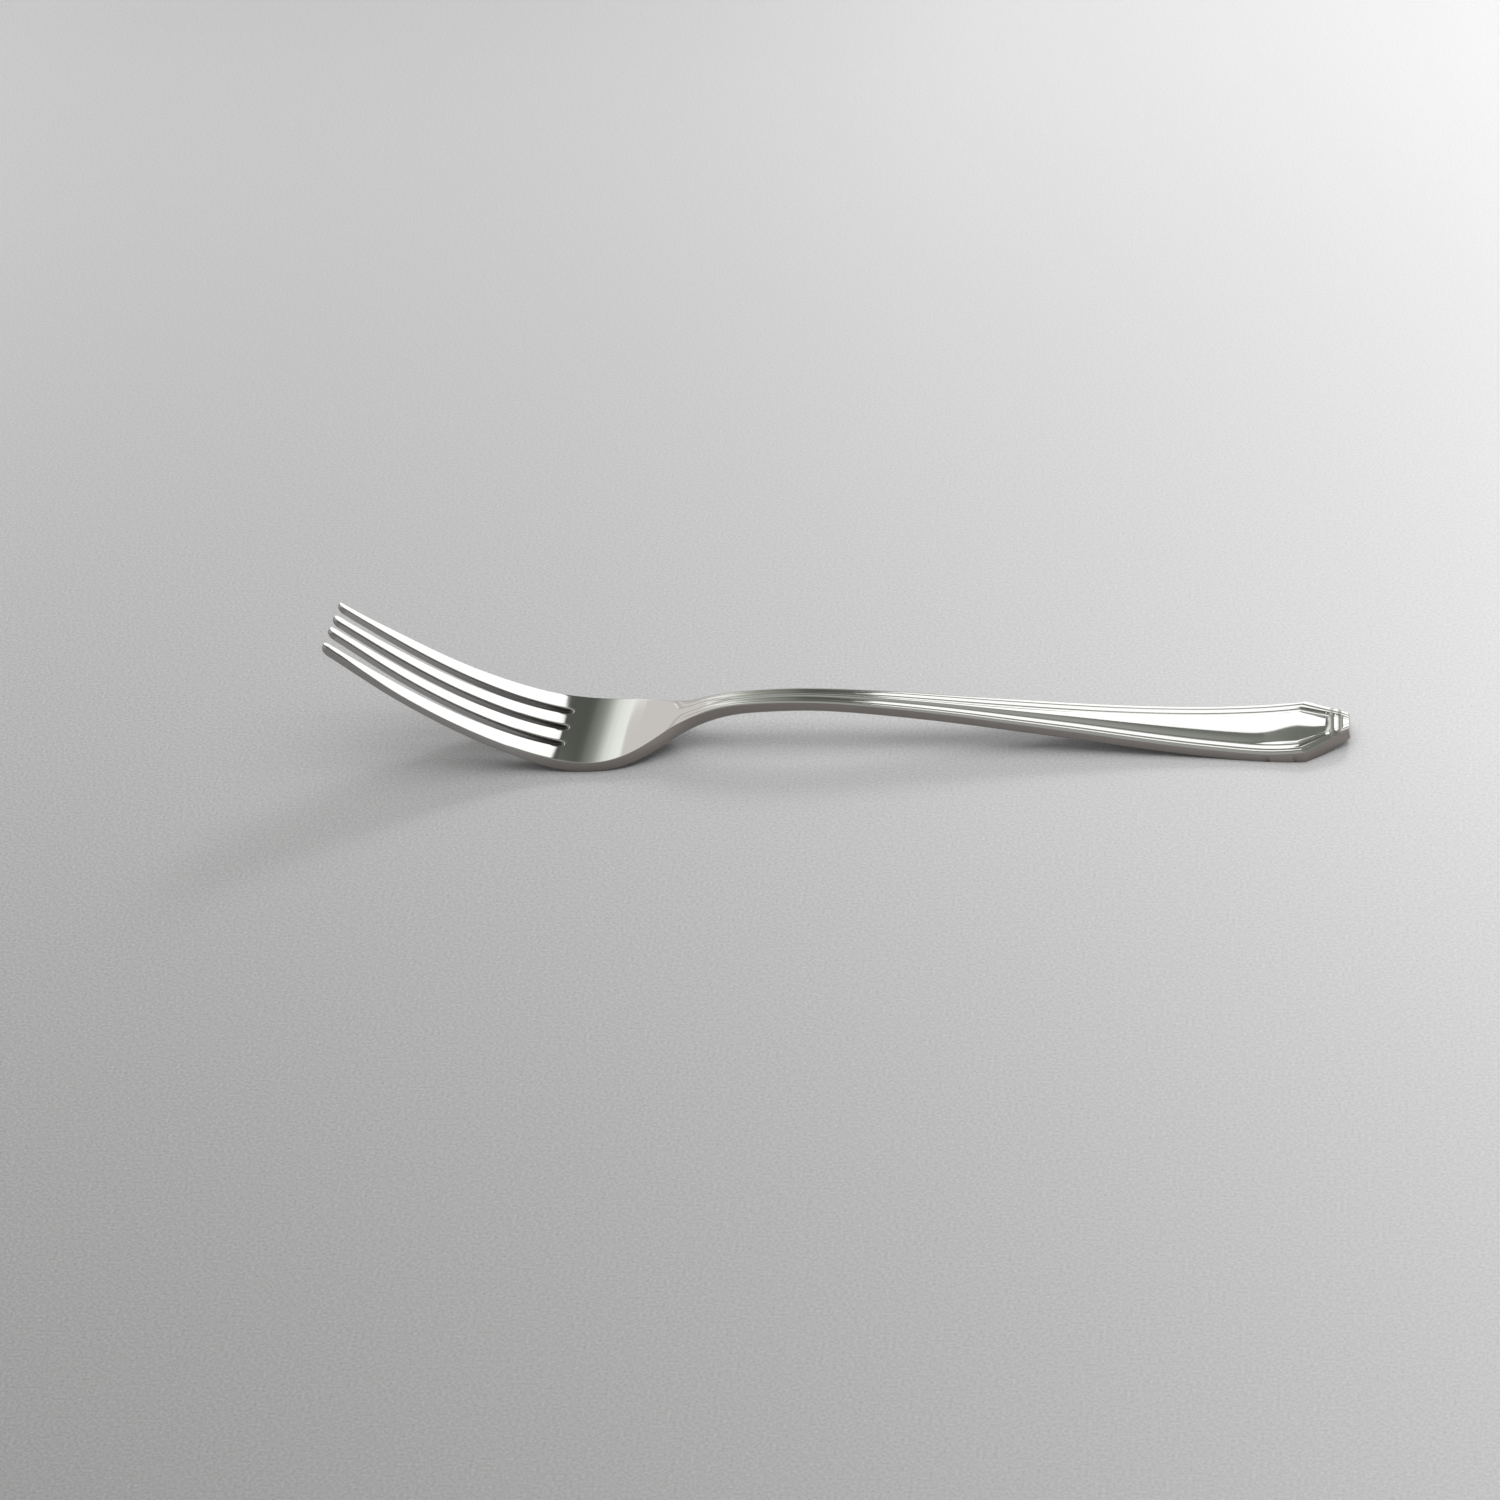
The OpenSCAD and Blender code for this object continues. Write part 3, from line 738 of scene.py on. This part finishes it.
def handle_section(x):
    """Flat points of a closed section: the top from the right rim to the left, then the underside back."""
    half_top, half_under = [], []
    w = float(outline(min(x, x_corner)))
    b = border(x, w)
    rim_x, rim_y = top_spot(x, 0, 1)
    for angle, step in zip(round_angles[:-1], round_ins):
        px, py = top_spot(x, step / b, 1)
        drop = round_h * (1 - math.sin(angle))
        half_top.append((px, py, struck(x, py, w, thread_height(x, rim_share, False)) - drop))
    for u, share, _ in thread_line:
        if u * b <= clear_of_round:
            u = (clear_of_round + 0.02 * u) / b
        px, py = top_spot(x, u, 1)
        half_top.append((px, py, struck(x, py, w, thread_height(x, share, u > inner_threads))))
    for g in panel_half_share + [0.0]:
        px, py = top_spot(x, panel_foot, g)
        share = panel_edge + (panel_top - panel_edge) * (1 - g * g)
        half_top.append((px, py, struck(x, py, w, thread_height(x, share, True, panel_sink(px)))))
    t, deep = float(side_curve(x)) + round_h - under_round(x), float(along(belly_line, x))
    for angle, step in zip(round_angles, round_ins):
        y = rim_y - step
        half_under.append((rim_x, y, -t - under_round(x) * math.sin(angle) - deep * (1 - (y / rim_y) ** 2)))
    for s in under_share:
        y = (rim_y - round_w) * s
        half_under.append((rim_x, y, -t - under_round(x) - deep * (1 - (y / rim_y) ** 2)))
    return half_top, half_under


end_stations = [0, 0.02, 0.06, 0.12, 0.2, 0.28, 0.36, 0.44, 0.52, 0.57, 0.6, 0.625, 0.64, 0.655, 0.68, 0.705,
                0.73, 0.75, 0.77, 0.79, 0.81, 0.83, 0.85, 0.87, 0.9, 0.95, 0.985, 1.0]
stretches = [(x_palm, x_neck, 60), (x_neck, x_stem, 56), (x_stem, x_grip, 100), (x_grip, x_terminal, 110),
             (x_terminal, x_corner, 8)]
stations = np.concatenate([np.linspace(a, b, count)[:-1] for a, b, count in stretches]
                          + [x_corner + end_len * np.array(end_stations)])
handle_points, handle_dull_and_shade, handle_rings = [], [], []
for x in stations:
    half_top, half_under = handle_section(float(x))
    ring = half_top + [(p[0], -p[1], p[2]) for p in reversed(half_top[:-1])]
    ring += [(p[0], -p[1], p[2]) for p in half_under] + [p for p in reversed(half_under[:-1])]
    flat_ring = np.array(ring)
    over = flat_ring[:2 * len(half_top) - 1]
    over[:, 2] += panel_twist(over[:, 0], over[:, 1], top_spot(float(x), panel_foot, 1)[1])
    # Each point's share of the dull side finish and of painted shade: the rounded edges, the threads'
    # grooves, the V's nick and the end bead
    top_dull_and_shade = [side_dull_and_shade(a) for a in round_angles[:-1]]
    top_dull_and_shade += [dull * float(relief(x, 3)) for _, _, dull in thread_line]
    top_dull_and_shade += [0.0] * (len(panel_half_share) + 1)
    top_dull_and_shade = [max(own, nick_dull_and_shade * v_nick(x, p[1]), float(along(bead_dull_and_shade, (p[0] - x_corner) / end_len)))
                 for own, p in zip(top_dull_and_shade, half_top)]
    under_dull_and_shade = [side_dull_and_shade(a) for a in round_angles] + [0.0] * (len(half_under) - len(round_angles))
    handle_dull_and_shade.extend(top_dull_and_shade + top_dull_and_shade[-2::-1] + under_dull_and_shade + under_dull_and_shade[-2::-1])
    start_at = len(handle_points)
    handle_points.extend(bent(flat_ring[:, 0], flat_ring[:, 1], flat_ring[:, 2]))
    handle_rings.append(np.arange(start_at, start_at + len(ring)))
offset = len(head_points)
around = len(handle_rings[0])
for a, b in zip(handle_rings[:-1], handle_rings[1:]):
    for k in range(around):
        n = (k + 1) % around
        faces.append((offset + a[k], offset + b[k], offset + b[n], offset + a[n]))
faces.append([offset + k for k in handle_rings[-1]])

# One mesh of head and handle, welded where they meet, and sharp only where faces meet at over 80 degrees
weld_distance, sharp_angle = 0.004 * mm, math.radians(80)
points = np.array(head_points + handle_points) * mm
fork_mesh = bpy.data.meshes.new("fork")
fork_mesh.from_pydata([tuple(p) for p in points], [], [tuple(int(k) for k in f) for f in faces])
dull_and_shade_share = fork_mesh.attributes.new("dull_finish_and_painted_shade", "FLOAT", "POINT")
dull_and_shade_share.data.foreach_set("value", head_dull_and_shade + handle_dull_and_shade)
fork_mesh.validate()
fork = bpy.data.objects.new("fork", fork_mesh)
scene.collection.objects.link(fork)
bpy.ops.object.select_all(action="DESELECT")
fork.select_set(True)
bpy.context.view_layer.objects.active = fork
bpy.ops.object.mode_set(mode="EDIT")
bpy.ops.mesh.select_all(action="SELECT")
bpy.ops.mesh.remove_doubles(threshold=weld_distance)
bpy.ops.mesh.normals_make_consistent(inside=False)
bpy.ops.object.mode_set(mode="OBJECT")
bpy.ops.object.shade_smooth_by_angle(angle=sharp_angle)

# Mirror polish on top, and a duller, browner side face where the blank was sheared. Its darker colour is
# partly painted shade, for the shaded floor that the side faces show, and it paints shade into the grooves
# too
steel, start = new_material("polished_steel")
dull_and_shade_mask = start.node("ShaderNodeAttribute", {"attribute_name": "dull_finish_and_painted_shade"}, None, "Fac")
mirror_steel, sheared_steel_and_painted_shade = (0.575, 0.575, 0.565, 1), (0.28, 0.257, 0.242, 1)
steel_colour = start.node("ShaderNodeMix", {"data_type": "RGBA"}, {
    0: dull_and_shade_mask, 6: mirror_steel, 7: sheared_steel_and_painted_shade}, 2)
mirror_roughness, sheared_more = 0.05, 0.25
steel_shader = start.node("ShaderNodeBsdfPrincipled", None, {
    "Base Color": steel_colour, "Metallic": 1.0,
    "Roughness": dull_and_shade_mask * sheared_more + mirror_roughness})
start.node("ShaderNodeOutputMaterial", None, {"Surface": steel_shader}, None)
fork.data.materials.append(steel)
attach(fork, "root")
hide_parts("tine_outer_left", "tine_inner_left", "tine_inner_right", "tine_outer_right", "palm",
            "shoulder", "neck", "stem", "grip", "terminal")
